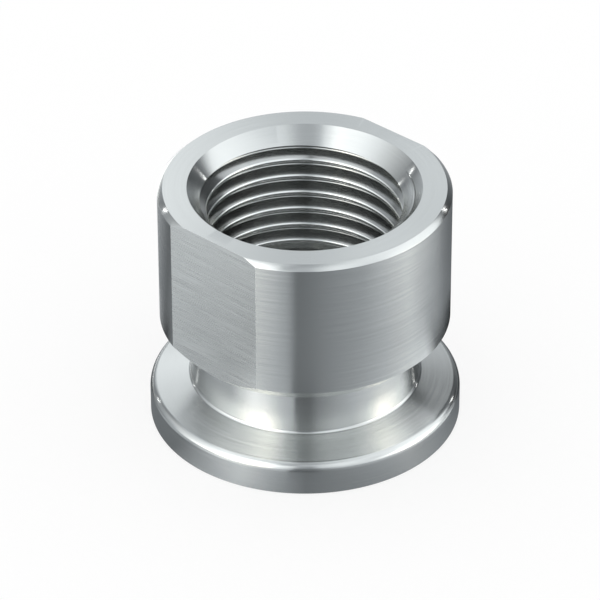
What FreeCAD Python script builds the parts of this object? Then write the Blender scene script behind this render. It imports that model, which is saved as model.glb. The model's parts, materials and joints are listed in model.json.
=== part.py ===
import FreeCAD, Part
import math
import os

# A vacuum adapter turned from one bar: a small clamp flange at the foot, a neck, and a body with a
# tapered pipe thread in its mouth. Millimetres, +Z up the axis, origin at the centre of the sealing face.

# The clamp flange, seen as a disc whose back slopes up to the neck
FLANGE_DIAMETER = 30.0
FLANGE_EDGE_HEIGHT = 3.2
FLANGE_BACK_SLOPE_DEG = 15.0
FLANGE_BACK_EDGE_RADIUS = 0.9
FLANGE_FACE_EDGE_RADIUS = 0.15

# The neck, and the round at each of its two ends
NECK_DIAMETER = 22.0
NECK_END_RADIUS = 0.4

# The body, from its underside to the face round the mouth
OVERALL_HEIGHT = 25.0
BODY_DIAMETER = 27.9
BODY_HEIGHT = 15.6
BODY_UNDERSIDE_CHAMFER = 1.5
BODY_TOP_CHAMFER = 0.5
ACROSS_FLATS = 25.8

# The hole for the 1/2 inch taper pipe thread, drilled straight, and the countersink at its mouth
MOUTH_DIAMETER = 22.3
COUNTERSINK_ANGLE_DEG = 90.0
TAPPING_DIAMETER = 18.25
TAPPING_DEPTH = 17.0
DRILL_POINT_ANGLE_DEG = 118.0

# The gas passage, and the recess in the sealing face that takes the centring ring
PASSAGE_DIAMETER = 16.0
RECESS_DIAMETER = 17.2
RECESS_DEPTH = 3.0
RECESS_EDGE_CHAMFER = 0.2

flange_radius = FLANGE_DIAMETER / 2
neck_radius = NECK_DIAMETER / 2
body_radius = BODY_DIAMETER / 2
mouth_radius = MOUTH_DIAMETER / 2
tapping_radius = TAPPING_DIAMETER / 2
passage_radius = PASSAGE_DIAMETER / 2
recess_radius = RECESS_DIAMETER / 2
back_slope = math.tan(math.radians(FLANGE_BACK_SLOPE_DEG))
neck_foot_z = FLANGE_EDGE_HEIGHT + (flange_radius - neck_radius) * back_slope
underside_z = OVERALL_HEIGHT - BODY_HEIGHT
tapping_end_z = OVERALL_HEIGHT - TAPPING_DEPTH


def cone_height(wide_radius, narrow_radius, included_angle_deg):
    """Axial height of a cone between two radii."""
    return (wide_radius - narrow_radius) / math.tan(math.radians(included_angle_deg / 2))


def outer_corners():
    """The outside of the section, from the sealing face up to the mouth, as radius, height, rounding."""
    return [
        (flange_radius, 0, FLANGE_FACE_EDGE_RADIUS),
        (flange_radius, FLANGE_EDGE_HEIGHT, FLANGE_BACK_EDGE_RADIUS),
        (neck_radius, neck_foot_z, NECK_END_RADIUS),
        (neck_radius, underside_z, NECK_END_RADIUS),
        (body_radius - BODY_UNDERSIDE_CHAMFER, underside_z, 0),
        (body_radius, underside_z + BODY_UNDERSIDE_CHAMFER, 0),
        (body_radius, OVERALL_HEIGHT - BODY_TOP_CHAMFER, 0),
        (body_radius - BODY_TOP_CHAMFER, OVERALL_HEIGHT, 0),
    ]


def inner_corners():
    """The bore of the section, from the mouth down to the sealing face."""
    countersink = cone_height(mouth_radius, tapping_radius, COUNTERSINK_ANGLE_DEG)
    drill_point = cone_height(tapping_radius, passage_radius, DRILL_POINT_ANGLE_DEG)
    return [
        (mouth_radius, OVERALL_HEIGHT, 0),
        (tapping_radius, OVERALL_HEIGHT - countersink, 0),
        (tapping_radius, tapping_end_z, 0),
        (passage_radius, tapping_end_z - drill_point, 0),
        (passage_radius, RECESS_DEPTH, 0),
        (recess_radius, RECESS_DEPTH, 0),
        (recess_radius, RECESS_EDGE_CHAMFER, 0),
        (recess_radius + RECESS_EDGE_CHAMFER, 0, 0),
    ]


def rounded_corner(before, corner, after, radius):
    """Start, middle and end of the arc that rounds a corner, kept within its two walls."""
    into = (before - corner).normalize()
    out = (after - corner).normalize()
    half_angle = into.getAngle(out) / 2
    longest = 0.45 * min((before - corner).Length, (after - corner).Length)
    reach = min(radius / math.tan(half_angle), longest)
    arc_radius = reach * math.tan(half_angle)
    towards_centre = (into + out).normalize()
    middle = corner + towards_centre * (arc_radius / math.sin(half_angle) - arc_radius)
    return corner + into * reach, middle, corner + out * reach


def section_face(corners):
    """A closed face in the XZ plane through the corners, with the rounded ones as arcs."""
    points = [FreeCAD.Vector(radius, 0, height) for radius, height, _ in corners]
    roundings = [rounding for _, _, rounding in corners]
    edges = []
    stretch_ends = []
    for index, corner in enumerate(points):
        if roundings[index] > 0:
            after = points[(index + 1) % len(points)]
            start, middle, end = rounded_corner(points[index - 1], corner, after, roundings[index])
            edges.append(Part.Arc(start, middle, end).toShape())
        else:
            start = end = corner
        stretch_ends.append((start, end))
    for index, (start, _) in enumerate(stretch_ends):
        edges.append(Part.makeLine(stretch_ends[index - 1][1], start))
    return Part.Face(Part.Wire(Part.__sortEdges__(edges)))


def turned_blank():
    """The section turned once about the axis."""
    section = section_face(outer_corners() + inner_corners())
    return section.revolve(FreeCAD.Vector(0, 0, 0), FreeCAD.Vector(0, 0, 1), 360)


def flat_cutters():
    """The two blocks that mill the spanner flats: they reach below the body but not to the flange."""
    half_flats = ACROSS_FLATS / 2
    foot_z = (neck_foot_z + underside_z) / 2
    block = Part.makeBox(
        BODY_DIAMETER,
        BODY_DIAMETER,
        OVERALL_HEIGHT,
        FreeCAD.Vector(-body_radius, half_flats, foot_z),
    )
    opposite = block.copy()
    opposite.rotate(FreeCAD.Vector(0, 0, 0), FreeCAD.Vector(0, 0, 1), 180)
    return [block, opposite]


adapter = turned_blank().cut(flat_cutters())

os.makedirs("parts", exist_ok=True)
adapter.exportStep("parts/flange_adapter.step")
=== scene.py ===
import json
import math

import bmesh
import bpy
from mathutils import Matrix, Vector


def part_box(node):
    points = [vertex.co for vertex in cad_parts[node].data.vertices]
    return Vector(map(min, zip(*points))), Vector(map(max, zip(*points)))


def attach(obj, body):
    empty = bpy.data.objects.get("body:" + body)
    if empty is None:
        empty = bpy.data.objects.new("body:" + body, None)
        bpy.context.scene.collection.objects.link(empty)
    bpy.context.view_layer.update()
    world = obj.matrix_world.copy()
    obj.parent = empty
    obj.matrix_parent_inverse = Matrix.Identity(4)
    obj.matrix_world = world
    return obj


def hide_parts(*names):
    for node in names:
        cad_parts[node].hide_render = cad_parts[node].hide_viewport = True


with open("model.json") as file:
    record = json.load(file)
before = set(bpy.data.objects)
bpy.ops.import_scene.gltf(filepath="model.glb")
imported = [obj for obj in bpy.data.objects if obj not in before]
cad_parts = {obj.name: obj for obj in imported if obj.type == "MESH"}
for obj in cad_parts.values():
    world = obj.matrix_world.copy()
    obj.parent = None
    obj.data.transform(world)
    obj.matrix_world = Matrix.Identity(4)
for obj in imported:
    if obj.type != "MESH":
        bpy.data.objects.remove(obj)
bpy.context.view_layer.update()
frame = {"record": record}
bpy.ops.object.select_all(action="DESELECT")

# The turned blank: the whole adapter before its flats are milled and its bore is tapped. The real
# one is turned from a stainless steel bar, so its outline is drawn once and spun about the axis.
MM = 0.001
SAME_POINT = 0.001
flange_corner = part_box("flange_adapter")[1]
mounts = {mount["name"]: mount for mount in frame["record"]["mounts"]}
FLANGE_RADIUS = flange_corner.x / MM
HEIGHT = flange_corner.z / MM
FLANGE_EDGE_HEIGHT = 3.2
BACK_SLOPE_DEG = 15.0
BACK_EDGE_ROUND = 0.9
FACE_EDGE_ROUND = 0.15
NECK_RADIUS = 11.0
NECK_ROUND = 0.4
BODY_RADIUS = 13.95
BODY_LENGTH = 15.6
BODY_FOOT_HEIGHT = HEIGHT - BODY_LENGTH
BODY_FOOT_CHAMFER = 1.5
BODY_TOP_CHAMFER = 0.5
MOUTH_RADIUS = 11.15
PASSAGE_RADIUS = 8.0
RECESS_RADIUS = mounts["centring_recess"]["dims"]["r_mm"]
RECESS_DEPTH = 3.0
RECESS_CHAMFER = 0.2
DRILL_POINT_DEG = 118.0
TURNED_STEPS = 270
ROUND_STEP_DEG = 10.0

# The bore is made ready for a half inch pipe thread, which is tapered 1 in 16 on its diameter.
THREAD_TAPER = 1 / 32
CORE_RADIUS_AT_TOP = 9.3155
CORE_CLEARANCE = 0.03
TAPPED_DEPTH = 17.0


def core_radius(height):
    """The thread's core at a height: it narrows towards the foot."""
    return CORE_RADIUS_AT_TOP - (HEIGHT - height) * THREAD_TAPER


def drilled_outline():
    """The bore before tapping: a taper that the tap just cleans up, with its countersink on top."""
    wall = core_radius(HEIGHT) - CORE_CLEARANCE
    sink_depth = (MOUTH_RADIUS - wall) / (1 - THREAD_TAPER)
    foot_height = HEIGHT - TAPPED_DEPTH
    foot_radius = core_radius(foot_height) - CORE_CLEARANCE
    drill_point = (foot_radius - PASSAGE_RADIUS) / math.tan(math.radians(DRILL_POINT_DEG / 2))
    return [
        (MOUTH_RADIUS, HEIGHT, 0),
        (MOUTH_RADIUS - sink_depth, HEIGHT - sink_depth, 0),
        (foot_radius, foot_height, 0),
        (PASSAGE_RADIUS, foot_height - drill_point, 0),
        (PASSAGE_RADIUS, RECESS_DEPTH, 0),
        (RECESS_RADIUS, RECESS_DEPTH, 0),
        (RECESS_RADIUS, RECESS_CHAMFER, 0),
        (RECESS_RADIUS + RECESS_CHAMFER, 0, 0),
    ]


def turned_outline():
    """The outside, from the sealing face up to the mouth, as radius, height and rounding."""
    neck_foot = FLANGE_EDGE_HEIGHT + (FLANGE_RADIUS - NECK_RADIUS) * math.tan(math.radians(BACK_SLOPE_DEG))
    return [
        (FLANGE_RADIUS, 0, FACE_EDGE_ROUND),
        (FLANGE_RADIUS, FLANGE_EDGE_HEIGHT, BACK_EDGE_ROUND),
        (NECK_RADIUS, neck_foot, NECK_ROUND),
        (NECK_RADIUS, BODY_FOOT_HEIGHT, NECK_ROUND),
        (BODY_RADIUS - BODY_FOOT_CHAMFER, BODY_FOOT_HEIGHT, 0),
        (BODY_RADIUS, BODY_FOOT_HEIGHT + BODY_FOOT_CHAMFER, 0),
        (BODY_RADIUS, HEIGHT - BODY_TOP_CHAMFER, 0),
        (BODY_RADIUS - BODY_TOP_CHAMFER, HEIGHT, 0),
    ]


def rounded(corners, closed):
    """The corners as points in the XZ plane, with an arc of short steps at each rounded one."""
    points = []
    for index, (radius, height, rounding) in enumerate(corners):
        corner = Vector((radius, height))
        if rounding == 0:
            points.append(corner)
            continue
        before = Vector(corners[index - 1][:2])
        after = Vector(corners[(index + 1) % len(corners)][:2])
        into = (before - corner).normalized()
        out = (after - corner).normalized()
        half_angle = into.angle(out) / 2
        centre = corner + (into + out).normalized() * (rounding / math.sin(half_angle))
        start = corner + into * (rounding / math.tan(half_angle)) - centre
        sweep = start.angle_signed(corner + out * (rounding / math.tan(half_angle)) - centre)
        steps = math.ceil(math.degrees(abs(sweep)) / ROUND_STEP_DEG)
        for step in range(steps + 1):
            points.append(centre + Matrix.Rotation(-sweep * step / steps, 2) @ start)
    if closed:
        points.append(points[0])
    return points


def draw_outline(name, points):
    """A new object in edit mode whose mesh is one chain of edges through the points."""
    bpy.ops.mesh.primitive_plane_add(size=MM)
    piece = bpy.context.object
    piece.name = name
    bpy.ops.object.mode_set(mode="EDIT")
    bpy.ops.mesh.merge(type="CENTER")
    place = Vector((0, 0))
    for index, point in enumerate(points):
        step = (point - place) * MM
        if index == 0:
            bpy.ops.transform.translate(value=(step.x, 0, step.y))
        else:
            bpy.ops.mesh.extrude_vertices_move(TRANSFORM_OT_translate={"value": (step.x, 0, step.y)})
        place = point
    bpy.ops.mesh.select_all(action="SELECT")
    return piece


# Every finish is the same steel, with the fine marks of its tool, which come and go along their way.
# A mark has its place by radius and height together, so that walls, slopes and faces all have marks.
# Some copies of the steel are lightened or darkened as a whole, as painted light and shade.
STEEL_DARK = (0.60, 0.61, 0.60)
STEEL_LIGHT = (0.76, 0.775, 0.76)
TURNED_ROUGHNESS = 0.18
TURNED_STREAK = 1.0
TURNED_MARK_WIDTH = 0.12
TURNED_MARK_LENGTH = 10.0
TURNED_MARK_DEPTH = 0.004
TURNED_CONTRAST = 0.3
SECTION_SLANT = 1.37
NOISE_LOW = 0.3
NOISE_HIGH = 0.7
WEAR = 0.2
QUARTER_TURN = 0.25


def machined_steel(name, roughness, streak, width, length, depth, contrast, painted_light_scale=1, turned=True):
    """Steel whose marks run round the axis where it was turned, and level where it was milled."""
    material = bpy.data.materials.new(name)
    material.use_nodes = True
    nodes = material.node_tree.nodes
    link = material.node_tree.links.new
    shader = nodes["Principled BSDF"]
    shader.inputs["Metallic"].default_value = 1
    shader.inputs["Anisotropic"].default_value = streak
    shader.inputs["Anisotropic Rotation"].default_value = QUARTER_TURN
    grain = nodes.new("ShaderNodeTangent")
    grain.direction_type = "RADIAL"
    grain.axis = "Z"
    link(grain.outputs["Tangent"], shader.inputs["Tangent"])

    place = nodes.new("ShaderNodeTexCoord")
    split = nodes.new("ShaderNodeSeparateXYZ")
    link(place.outputs["Object"], split.inputs["Vector"])
    across = split.outputs["Z"]
    if turned:
        level = nodes.new("ShaderNodeVectorMath")
        level.operation = "MULTIPLY"
        level.inputs[1].default_value = (1, 1, 0)
        link(place.outputs["Object"], level.inputs[0])
        radius = nodes.new("ShaderNodeVectorMath")
        radius.operation = "LENGTH"
        link(level.outputs["Vector"], radius.inputs[0])
        section = nodes.new("ShaderNodeMath")
        section.operation = "MULTIPLY_ADD"
        section.inputs[1].default_value = SECTION_SLANT
        link(split.outputs["Z"], section.inputs[0])
        link(radius.outputs["Value"], section.inputs[2])
        across = section.outputs["Value"]
    spot = nodes.new("ShaderNodeCombineXYZ")
    link(across, spot.inputs["X"])
    link(split.outputs["X"], spot.inputs["Y"])
    link(split.outputs["Y"], spot.inputs["Z"])
    stretch = nodes.new("ShaderNodeVectorMath")
    stretch.operation = "MULTIPLY"
    stretch.inputs[1].default_value = (1 / (width * MM), 1 / (length * MM), 1 / (length * MM))
    link(spot.outputs["Vector"], stretch.inputs[0])
    marks = nodes.new("ShaderNodeTexNoise")
    marks.inputs["Scale"].default_value = 1
    marks.inputs["Detail"].default_value = 3
    link(stretch.outputs["Vector"], marks.inputs["Vector"])
    depth_of_mark = nodes.new("ShaderNodeMapRange")
    depth_of_mark.inputs["From Min"].default_value = NOISE_LOW
    depth_of_mark.inputs["From Max"].default_value = NOISE_HIGH
    depth_of_mark.inputs["To Min"].default_value = 0.5 - contrast / 2
    depth_of_mark.inputs["To Max"].default_value = 0.5 + contrast / 2
    link(marks.outputs["Fac"], depth_of_mark.inputs["Value"])

    # The tint is scaled as a whole by the last argument: a scale above 1 is painted light, and below 1
    # painted shade.
    tint = nodes.new("ShaderNodeMix")
    tint.data_type = "RGBA"
    tint.inputs["A"].default_value = [part * painted_light_scale for part in STEEL_DARK] + [1]
    tint.inputs["B"].default_value = [part * painted_light_scale for part in STEEL_LIGHT] + [1]
    link(depth_of_mark.outputs["Result"], tint.inputs["Factor"])
    link(tint.outputs["Result"], shader.inputs["Base Color"])
    wear = nodes.new("ShaderNodeMapRange")
    wear.inputs["To Min"].default_value = roughness * (1 - WEAR)
    wear.inputs["To Max"].default_value = roughness * (1 + WEAR)
    link(marks.outputs["Fac"], wear.inputs["Value"])
    link(wear.outputs["Result"], shader.inputs["Roughness"])
    bump = nodes.new("ShaderNodeBump")
    bump.inputs["Distance"].default_value = depth * MM
    link(marks.outputs["Fac"], bump.inputs["Height"])
    link(bump.outputs["Normal"], shader.inputs["Normal"])
    return material


adapter = draw_outline("adapter", rounded(turned_outline() + drilled_outline(), closed=True))
bpy.ops.mesh.spin(steps=TURNED_STEPS, angle=math.tau, center=(0, 0, 0), axis=(0, 0, 1))
bpy.ops.mesh.select_all(action="SELECT")
bpy.ops.mesh.remove_doubles(threshold=SAME_POINT * MM)
bpy.ops.mesh.normals_make_consistent(inside=False)
turned_steel = machined_steel(
    "turned_steel",
    TURNED_ROUGHNESS,
    TURNED_STREAK,
    TURNED_MARK_WIDTH,
    TURNED_MARK_LENGTH,
    TURNED_MARK_DEPTH,
    TURNED_CONTRAST,
)
adapter.data.materials.append(turned_steel)

# What looks up is cut last, with a sharper tool: the face round the mouth, its chamfer, the
# countersink and the rounded edge of the flange. The sloped back of the flange stays duller, and its
# colour is lightened a little as painted light.
FACED_ROUGHNESS = 0.17
FACED_STREAK = 0.9
FACED_MARK_WIDTH = 0.2
FACED_MARK_DEPTH = 0.002
FACED_CONTRAST = 0.15
BACK_ROUGHNESS = 0.24
BACK_CONTRAST = 0.2
# The sloped back's colour is lightened as a whole: painted light on the back of the flange.
BACK_PAINTED_LIGHT = 1.07
LOOKS_UP = (0.1, 1.001)
SLOPES_BACK = (0.96, 0.971)
faced_steel = machined_steel(
    "faced_steel",
    FACED_ROUGHNESS,
    FACED_STREAK,
    FACED_MARK_WIDTH,
    TURNED_MARK_LENGTH,
    FACED_MARK_DEPTH,
    FACED_CONTRAST,
)
back_steel_painted_light = machined_steel(
    "back_steel_painted_light",
    BACK_ROUGHNESS,
    TURNED_STREAK,
    TURNED_MARK_WIDTH,
    TURNED_MARK_LENGTH,
    TURNED_MARK_DEPTH,
    BACK_CONTRAST,
    BACK_PAINTED_LIGHT,
)
for finish, (least, most) in ((faced_steel, LOOKS_UP), (back_steel_painted_light, SLOPES_BACK)):
    adapter.data.materials.append(finish)
    bpy.ops.mesh.select_all(action="DESELECT")
    mesh = bmesh.from_edit_mesh(adapter.data)
    for face in mesh.faces:
        if least < face.normal.z < most:
            face.select = True
    bmesh.update_edit_mesh(adapter.data)
    adapter.active_material_index = len(adapter.data.materials) - 1
    bpy.ops.object.material_slot_assign()

# The spanner flats: two faces milled on the body, 25.8 mm apart, so that a spanner can hold it. Each
# is one cut across the body, which leaves the neck and the flange whole.
HALF_FLATS = 12.9
CUT_MARGIN = 0.5
MILLED_ROUGHNESS = 0.28
MILLED_STREAK = 0.9
MILLED_MARK_WIDTH = 0.1
MILLED_MARK_LENGTH = 6.0
MILLED_MARK_DEPTH = 0.006
MILLED_CONTRAST = 0.9
milled_steel = machined_steel(
    "milled_steel",
    MILLED_ROUGHNESS,
    MILLED_STREAK,
    MILLED_MARK_WIDTH,
    MILLED_MARK_LENGTH,
    MILLED_MARK_DEPTH,
    MILLED_CONTRAST,
    turned=False,
)
adapter.data.materials.append(milled_steel)
for side in (-1, 1):
    bpy.ops.mesh.select_all(action="DESELECT")
    mesh = bmesh.from_edit_mesh(adapter.data)
    for face in mesh.faces:
        if face.calc_center_median().z > (BODY_FOOT_HEIGHT - CUT_MARGIN) * MM:
            face.select = True
    bmesh.update_edit_mesh(adapter.data)
    bpy.ops.mesh.bisect(
        plane_co=(0, side * HALF_FLATS * MM, 0),
        plane_no=(0, side, 0),
        use_fill=True,
        clear_outer=True,
        threshold=SAME_POINT * MM,
    )
    adapter.active_material_index = len(adapter.data.materials) - 1
    bpy.ops.object.material_slot_assign()
bpy.ops.object.mode_set(mode="OBJECT")

# Every sharp edge of the milled blank is broken by a tenth of a millimetre, so that it can't cut.
EDGE_BREAK = 0.1
SHARP_EDGE_DEG = 20.0
edge_break = adapter.modifiers.new("edge_break", "BEVEL")
edge_break.width = EDGE_BREAK * MM
edge_break.segments = 2
edge_break.limit_method = "ANGLE"
edge_break.angle_limit = math.radians(SHARP_EDGE_DEG)
bpy.ops.object.modifier_apply(modifier=edge_break.name)

# The thread: cut right hand by a taper tap of 55 degree rounded form, and fading out near the foot of
# the hole, where the tap's first teeth are ground away. The tap is a screwed outline, taken out of the
# blank. Its flanks are darkened as painted shade in the grooves, and its crests are lightened as a
# painted highlight.
PITCH = 25.4 / 14
THREAD_DEPTH = 0.640327 * PITCH
THREAD_ROUND = 0.137329 * PITCH
SHARP_DEPTH = 0.960491 * PITCH
CREST_HEIGHT_EAST = 21.36
TURNS_BELOW_CREST = 9
TAP_TURNS = 12
TAP_STEPS = 180
TAP_TIP_GAP = 0.4
TAP_OVERRUN = 1.0
LEAD_LENGTH = 4.0
LEAD_TIP_GAP = 0.1
LEAD_MARGIN = 0.5
TAPPED_ROUGHNESS = 0.15
TAPPED_STREAK = 0.9
TAPPED_MARK_WIDTH = 0.15
TAPPED_MARK_DEPTH = 0.001
TAPPED_CONTRAST = 0.25
# The flanks' darker colour is painted shade in the grooves, and the crests' lighter colour is a painted
# highlight.
TAPPED_PAINTED_SHADE = 0.8
CREST_DEPTH = 0.13
CREST_PAINTED_HIGHLIGHT = 1.2

flank_radius = core_radius(HEIGHT) + THREAD_DEPTH / 2
start_height = CREST_HEIGHT_EAST - HEIGHT + PITCH / 4 - TURNS_BELOW_CREST * PITCH
tap_tip_height = HEIGHT - TAPPED_DEPTH + TAP_TIP_GAP
tooth = [
    (flank_radius, start_height, 0),
    (flank_radius + SHARP_DEPTH / 2, start_height + PITCH / 4, THREAD_ROUND),
    (flank_radius - SHARP_DEPTH / 2, start_height + PITCH * 3 / 4, THREAD_ROUND),
    (flank_radius, start_height + PITCH, 0),
]
tap = draw_outline("tap", rounded(tooth, closed=False))
tapped_steel_painted_shade = machined_steel(
    "tapped_steel_painted_shade",
    TAPPED_ROUGHNESS,
    TAPPED_STREAK,
    TAPPED_MARK_WIDTH,
    TURNED_MARK_LENGTH,
    TAPPED_MARK_DEPTH,
    TAPPED_CONTRAST,
    TAPPED_PAINTED_SHADE,
)
tap.data.materials.append(tapped_steel_painted_shade)
crest_steel_painted_highlight = machined_steel(
    "crest_steel_painted_highlight",
    TAPPED_ROUGHNESS,
    TAPPED_STREAK,
    TAPPED_MARK_WIDTH,
    TURNED_MARK_LENGTH,
    TAPPED_MARK_DEPTH,
    TAPPED_CONTRAST,
    CREST_PAINTED_HIGHLIGHT,
)
tap.data.materials.append(crest_steel_painted_highlight)
bpy.ops.object.mode_set(mode="OBJECT")
helix = tap.modifiers.new("helix", "SCREW")
helix.screw_offset = PITCH * MM
helix.iterations = TAP_TURNS
helix.steps = TAP_STEPS
helix.render_steps = TAP_STEPS
helix.use_merge_vertices = True
helix.merge_threshold = SAME_POINT * MM
bpy.ops.object.modifier_apply(modifier=helix.name)
bpy.ops.object.mode_set(mode="EDIT")
bpy.ops.mesh.select_all(action="SELECT")
bpy.ops.mesh.remove_doubles(threshold=SAME_POINT * MM)
bpy.ops.object.mode_set(mode="OBJECT")
heights = [vertex.co.z for vertex in tap.data.vertices]
taper = tap.modifiers.new("taper", "SIMPLE_DEFORM")
taper.deform_method = "TAPER"
taper.deform_axis = "Z"
taper.factor = THREAD_TAPER * (max(heights) - min(heights)) / (flank_radius * MM)
bpy.ops.object.modifier_apply(modifier=taper.name)
bpy.ops.object.mode_set(mode="EDIT")
bpy.ops.mesh.select_all(action="SELECT")
bpy.ops.transform.translate(value=(0, 0, HEIGHT * MM))
bpy.ops.mesh.select_all(action="DESELECT")
# The faces next to the core are the crests: they take the lighter copy of the steel, a painted highlight.
mesh = bmesh.from_edit_mesh(tap.data)
for face in mesh.faces:
    centre = face.calc_center_median() / MM
    if centre.xy.length < core_radius(centre.z) + CREST_DEPTH:
        face.select = True
bmesh.update_edit_mesh(tap.data)
tap.active_material_index = 1
bpy.ops.object.material_slot_assign()
for height, outward in ((HEIGHT + TAP_OVERRUN, 1), (tap_tip_height, -1)):
    bpy.ops.mesh.select_all(action="SELECT")
    bpy.ops.mesh.bisect(
        plane_co=(0, 0, height * MM),
        plane_no=(0, 0, outward),
        use_fill=True,
        clear_outer=True,
        threshold=SAME_POINT * MM,
    )
bpy.ops.mesh.select_all(action="SELECT")
bpy.ops.mesh.normals_make_consistent(inside=False)
bpy.ops.object.mode_set(mode="OBJECT")

# The tap's lead: a cone that grinds its first teeth away.
bpy.ops.object.select_all(action="DESELECT")
tip_radius = core_radius(tap_tip_height) - LEAD_TIP_GAP
full_radius = core_radius(HEIGHT) + THREAD_DEPTH + LEAD_MARGIN
lead_slope = THREAD_DEPTH / LEAD_LENGTH
lead_top = tap_tip_height + (full_radius - tip_radius) / lead_slope
bpy.ops.mesh.primitive_cone_add(
    vertices=TURNED_STEPS,
    radius1=tip_radius * MM,
    radius2=full_radius * MM,
    depth=(lead_top - tap_tip_height) * MM,
    location=(0, 0, (lead_top + tap_tip_height) / 2 * MM),
)
bpy.ops.object.transform_apply()
lead = bpy.context.object
bpy.ops.object.mode_set(mode="EDIT")
bpy.ops.mesh.select_all(action="DESELECT")
mesh = bmesh.from_edit_mesh(lead.data)
for face in mesh.faces:
    if face.normal.z > 0.9:
        face.select = True
bmesh.update_edit_mesh(lead.data)
bpy.ops.mesh.extrude_region_move(TRANSFORM_OT_translate={"value": (0, 0, HEIGHT * MM)})
bpy.ops.object.mode_set(mode="OBJECT")
bpy.context.view_layer.objects.active = tap
grind = tap.modifiers.new("grind", "BOOLEAN")
grind.operation = "INTERSECT"
grind.object = lead
bpy.ops.object.modifier_apply(modifier=grind.name)
bpy.context.view_layer.objects.active = adapter
cut = adapter.modifiers.new("cut", "BOOLEAN")
cut.operation = "DIFFERENCE"
cut.object = tap
cut.material_mode = "TRANSFER"
bpy.ops.object.modifier_apply(modifier=cut.name)
for tool in (tap, lead):
    bpy.data.objects.remove(tool)

# The finished adapter is one closed skin of steel: doubled points are merged, it is smooth between its
# edges, and it stands for the solid of the same name.
bpy.ops.object.select_all(action="DESELECT")
adapter.select_set(True)
bpy.context.view_layer.objects.active = adapter
bpy.ops.object.mode_set(mode="EDIT")
bpy.ops.mesh.select_all(action="SELECT")
bpy.ops.mesh.remove_doubles(threshold=2 * SAME_POINT * MM)
bpy.ops.mesh.dissolve_degenerate(threshold=SAME_POINT * MM)
bpy.ops.object.mode_set(mode="OBJECT")
bpy.ops.object.shade_smooth_by_angle(angle=math.radians(SHARP_EDGE_DEG))
weighted = adapter.modifiers.new("weighted", "WEIGHTED_NORMAL")
weighted.keep_sharp = True
bpy.ops.object.modifier_apply(modifier=weighted.name)

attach(adapter, "root")
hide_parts("flange_adapter")

# The floor: a plain sheet of white paper, wide enough to fill the view from every side. The camera and
# the steel see most of it as its own white, and the rest as lit by the world, with the shadow.
FLOOR_SIZE = 6.0
PAPER_GLOW = 0.7

bpy.ops.object.select_all(action="DESELECT")
bpy.ops.mesh.primitive_plane_add(size=FLOOR_SIZE)
floor = bpy.context.object
floor.name = "floor"
paper = bpy.data.materials.new("white_paper")
paper.use_nodes = True
nodes = paper.node_tree.nodes
link = paper.node_tree.links.new
nodes["Principled BSDF"].inputs["Base Color"].default_value = (1, 1, 1, 1)
nodes["Principled BSDF"].inputs["Roughness"].default_value = 1
nodes["Principled BSDF"].inputs["Specular IOR Level"].default_value = 0
ray = nodes.new("ShaderNodeLightPath")
mirrored = nodes.new("ShaderNodeMath")
mirrored.operation = "MAXIMUM"
link(ray.outputs["Is Glossy Ray"], mirrored.inputs[0])
link(ray.outputs["Is Transmission Ray"], mirrored.inputs[1])
seen = nodes.new("ShaderNodeMath")
seen.operation = "MAXIMUM"
link(ray.outputs["Is Camera Ray"], seen.inputs[0])
link(mirrored.outputs["Value"], seen.inputs[1])
share = nodes.new("ShaderNodeMath")
share.operation = "MULTIPLY"
share.inputs[1].default_value = PAPER_GLOW
link(seen.outputs["Value"], share.inputs[0])
white = nodes.new("ShaderNodeEmission")
blend = nodes.new("ShaderNodeMixShader")
link(share.outputs["Value"], blend.inputs["Fac"])
link(nodes["Principled BSDF"].outputs["BSDF"], blend.inputs[1])
link(white.outputs["Emission"], blend.inputs[2])
link(blend.outputs["Shader"], nodes["Material Output"].inputs["Surface"])
floor.data.materials.append(paper)

world = bpy.data.worlds.new("studio")
bpy.context.scene.world = world
world.use_nodes = True
world.node_tree.nodes["Background"].inputs["Color"].default_value = (1, 1, 1, 1)
world.node_tree.nodes["Background"].inputs["Strength"].default_value = 1.0

# The light tent: rings of pale cloth that close the space round the adapter, as seen in its steel. Warm
# lamps outside light it on the left and on the right, its corners behind are dark, and so is the slot
# for the lens. Only reflections see the cloth, so the floor keeps its own light and shadow.
VIEW_AZIMUTH_DEG = 41.568
TENT_RADIUS = 300.0
TENT_STEPS = 120
BRIGHTEST = 6.0
CLOTH_COLOR = (0.93, 1.0, 1.07)
LAMP_COLOR = (1.0, 0.91, 0.78)
SHEET_HEIGHT = 0.2
UNDER_RIM_START = (14.95, 0.02)
UNDER_RIM_REACH = 19.5
ROUND_FLANGE_REACH = 27.0
NEAR_REACH = 65.0
LOW_SEAM = 98.0
HIGH_SEAM = 282.0
ROOF_HEIGHT = 492.0


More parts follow.
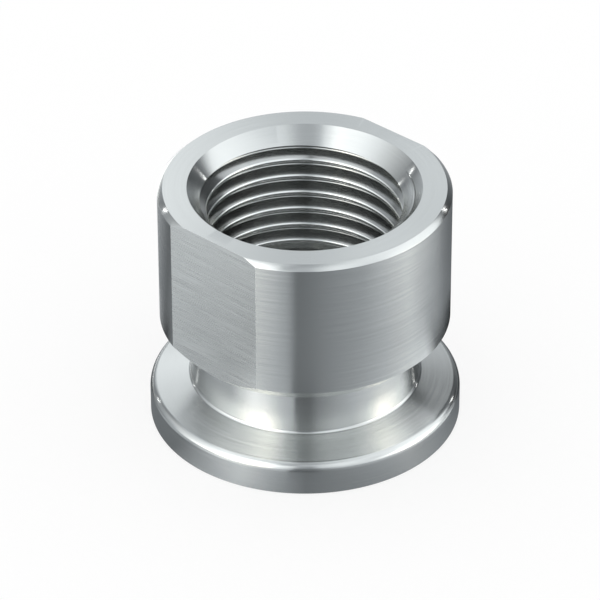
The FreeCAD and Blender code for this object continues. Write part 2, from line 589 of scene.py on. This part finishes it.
def hang_cloth(name, start, end, glow):
    """A ring of cloth from one circle to another, each a radius and a height, in millimetres.

    glow is its brightness by the number of degrees to the right of the lens.
    """
    bpy.ops.mesh.primitive_circle_add(
        vertices=TENT_STEPS,
        radius=start[0] * MM,
        location=(0, 0, start[1] * MM),
    )
    bpy.ops.object.transform_apply()
    cloth = bpy.context.object
    cloth.name = name
    bpy.ops.object.mode_set(mode="EDIT")
    bpy.ops.mesh.extrude_edges_move(TRANSFORM_OT_translate={"value": (0, 0, (end[1] - start[1]) * MM)})
    bpy.ops.transform.resize(value=(end[0] / start[0], end[0] / start[0], 1))
    bpy.ops.object.mode_set(mode="OBJECT")

    lit = bpy.data.materials.new(name)
    lit.use_nodes = True
    nodes = lit.node_tree.nodes
    link = lit.node_tree.links.new
    nodes.remove(nodes["Principled BSDF"])
    place = nodes.new("ShaderNodeTexCoord")
    turn = nodes.new("ShaderNodeMapping")
    turn.inputs["Rotation"].default_value = (0, 0, math.radians(90 - VIEW_AZIMUTH_DEG))
    link(place.outputs["Object"], turn.inputs["Vector"])
    way_round = nodes.new("ShaderNodeTexGradient")
    way_round.gradient_type = "RADIAL"
    link(turn.outputs["Vector"], way_round.inputs["Vector"])
    ramp = nodes.new("ShaderNodeValToRGB")
    stops = ramp.color_ramp.elements
    stops[1].position = 1.0
    for degrees, _ in glow[1:]:
        stops.new(0.5 + degrees / 360)
    link(way_round.outputs["Fac"], ramp.inputs["Fac"])
    for stop, (degrees, brightness) in zip(stops, glow + glow[:1]):
        share = brightness / BRIGHTEST
        stop.color = [
            share * (cold + share * (warm - cold)) for cold, warm in zip(CLOTH_COLOR, LAMP_COLOR)
        ] + [1]
    lamp = nodes.new("ShaderNodeEmission")
    lamp.inputs["Strength"].default_value = BRIGHTEST
    link(ramp.outputs["Color"], lamp.inputs["Color"])
    link(lamp.outputs["Emission"], nodes["Material Output"].inputs["Surface"])
    cloth.data.materials.append(lit)
    cloth.visible_camera = False
    cloth.visible_diffuse = False
    cloth.visible_shadow = False


# The brightnesses below weren't chosen by hand from the start: two scratch programs solved for them from
# the brightness of the photograph, and the results were rounded and then partly changed by hand.
# A dark sheet in the foot of the bore is painted shade: it stands in for the shadow under the adapter, so
# that no lit paper shows in the steel through the open passage.
hang_cloth("painted_shade_sheet_in_bore", (PASSAGE_RADIUS, SHEET_HEIGHT), (0.5, SHEET_HEIGHT), [(-180, 0.05), (0, 0.05)])
# The sheet round the foot is darker than the cloth further out: a painted shadow of the adapter on the
# floor, as the steel mirrors it.
hang_cloth("painted_shadow_under_rim", UNDER_RIM_START, (UNDER_RIM_REACH, SHEET_HEIGHT), [
    (-180, 0.4), (-120, 0.2), (-60, 0.2), (-27, 0.65), (-8, 0.33), (0, 0.22), (20, 0.28), (45, 0.4),
    (75, 0.25), (100, 0.12), (140, 0.3),
])
hang_cloth("sheet_round_flange", (UNDER_RIM_REACH, SHEET_HEIGHT), (ROUND_FLANGE_REACH, SHEET_HEIGHT), [
    (-180, 1.6), (-140, 0.6), (-110, 0), (-85, 0.55), (-60, 0.55), (-40, 1.6), (-20, 0.75), (-9, 0.6),
    (-7, 0.1), (3, 0.1), (10, 0.25), (40, 0.7), (75, 1.1), (86, 1.2), (98, 0), (150, 0), (165, 0.5),
])
hang_cloth("near_sheet", (ROUND_FLANGE_REACH, SHEET_HEIGHT), (NEAR_REACH, SHEET_HEIGHT), [
    (-180, 0.45), (-145, 0.35), (-115, 0.15), (-80, 0.55), (-60, 0.25), (-40, 0.5), (-20, 0.5), (-12, 0.42),
    (-5, 0.22), (30, 0.35), (75, 0.6), (118, 0.25), (150, 0.15),
])
hang_cloth("far_sheet", (NEAR_REACH, SHEET_HEIGHT), (TENT_RADIUS, SHEET_HEIGHT), [
    (-180, 0.6), (-145, 2.3), (-110, 0.1), (-70, 1.1), (-40, 2.3), (-9, 0.3), (-7, 0.1), (10, 0.2),
    (40, 0.4), (80, 2.3), (105, 1.9), (125, 0),
])
hang_cloth("low_wall", (TENT_RADIUS, SHEET_HEIGHT), (TENT_RADIUS, LOW_SEAM), [
    (-180, 0.7), (-155, 0.5), (-135, 0.25), (-100, 0.65), (-70, 2.2), (-40, 5.2), (-20, 1.3), (-9, 0.6),
    (-7, 0.2), (6, 0.2), (25, 0.8), (45, 1.1), (60, 2.1), (75, 5), (100, 1.8), (114, 0.4), (124, 0),
    (150, 0.2),
])
hang_cloth("high_wall", (TENT_RADIUS, LOW_SEAM), (TENT_RADIUS, HIGH_SEAM), [
    (-180, 0.7), (-172, 1.4), (-160, 1.3), (-150, 0.8), (-135, 0.2), (-70, 1.5), (-40, 3), (-24, 1.8),
    (-10, 1.1), (-5, 0.5), (4, 0.4), (11, 0.9), (29, 1.2), (52, 1), (75, 1.4), (116, 1.35), (126, 0.2),
    (150, 0.05), (172, 1),
])
hang_cloth("top_wall", (TENT_RADIUS, HIGH_SEAM), (TENT_RADIUS, ROOF_HEIGHT), [
    (-180, 0.8), (-130, 0.5), (-105, 0.9), (-80, 1.3), (-57, 1.5), (-40, 1.9), (-26, 1.3), (-20, 0.6),
    (-12, 0.5), (-6, 0.65), (3, 0.7), (25, 1.2), (50, 1.1), (97, 1.3), (115, 1.4), (145, 0.5), (170, 1.5),
])
hang_cloth("roof", (TENT_RADIUS, ROOF_HEIGHT), (1, ROOF_HEIGHT), [
    (-180, 0), (-150, 0), (-100, 1.5), (-70, 1), (-42, 0.9), (-20, 0.7), (-9, 0.5), (10, 0.5), (40, 0.8),
    (85, 1.1), (150, 1), (170, 0),
])

# Two narrow strip lamps, one upright in each dark corner of the tent: they give the small glints that
# cross the chamfers and the edge of the flange on the left and on the right.
STRIP_DEGREES = 128.5
STRIP_STAND_OFF = 290.0
STRIP_WIDTH = 3.0
STRIP_FOOT = 77.0
STRIP_HEIGHT = 42.0
STRIP_BRIGHTNESS = 16.0
strip_glow = bpy.data.materials.new("strip_lamp")
strip_glow.use_nodes = True
strip_glow.node_tree.nodes.remove(strip_glow.node_tree.nodes["Principled BSDF"])
lamp = strip_glow.node_tree.nodes.new("ShaderNodeEmission")
lamp.inputs["Strength"].default_value = STRIP_BRIGHTNESS
strip_glow.node_tree.links.new(
    lamp.outputs["Emission"], strip_glow.node_tree.nodes["Material Output"].inputs["Surface"]
)
for side in (-1, 1):
    way = math.radians(VIEW_AZIMUTH_DEG - 90 + side * STRIP_DEGREES)
    bpy.ops.mesh.primitive_plane_add(
        size=MM,
        location=(
            STRIP_STAND_OFF * MM * math.cos(way),
            STRIP_STAND_OFF * MM * math.sin(way),
            (STRIP_FOOT + STRIP_HEIGHT / 2) * MM,
        ),
        rotation=(math.pi / 2, 0, way + math.pi / 2),
    )
    strip = bpy.context.object
    strip.name = "strip_lamp"
    strip.scale = (STRIP_WIDTH, STRIP_HEIGHT, 1)
    bpy.ops.object.transform_apply()
    strip.data.materials.append(strip_glow)
    strip.visible_camera = False
    strip.visible_diffuse = False
    strip.visible_shadow = False

# The camera: a long lens, held where the photograph was taken from, some 430 mm away and 34 degrees
# above the floor. A scratch fit to the outlines in the photograph gave its numbers.
VIEW_ELEVATION_DEG = 33.879
VIEW_ROLL_DEG = -0.136
VIEW_DISTANCE = 425.8
AIM_HEIGHT = 12.057
AIM_ASIDE = -0.478
LENS = 266.6

lens = bpy.data.cameras.new("camera")
lens.lens = LENS
lens.sensor_width = 36
camera = bpy.data.objects.new("camera", lens)
bpy.context.collection.objects.link(camera)
bpy.context.scene.camera = camera
elevation = math.radians(VIEW_ELEVATION_DEG)
turn = Matrix.Rotation(math.radians(VIEW_AZIMUTH_DEG), 4, "Z")
tilt = Matrix.Rotation(math.pi / 2 - elevation, 4, "X")
roll = Matrix.Rotation(math.radians(VIEW_ROLL_DEG), 4, "Z")
stand = Vector((
    AIM_ASIDE,
    -VIEW_DISTANCE * math.cos(elevation),
    AIM_HEIGHT + VIEW_DISTANCE * math.sin(elevation),
))
camera.matrix_world = Matrix.Translation(turn @ (stand * MM)) @ turn @ tilt @ roll
lens.clip_start = 0.01
lens.clip_end = 10

bpy.context.scene.view_settings.view_transform = "Standard"
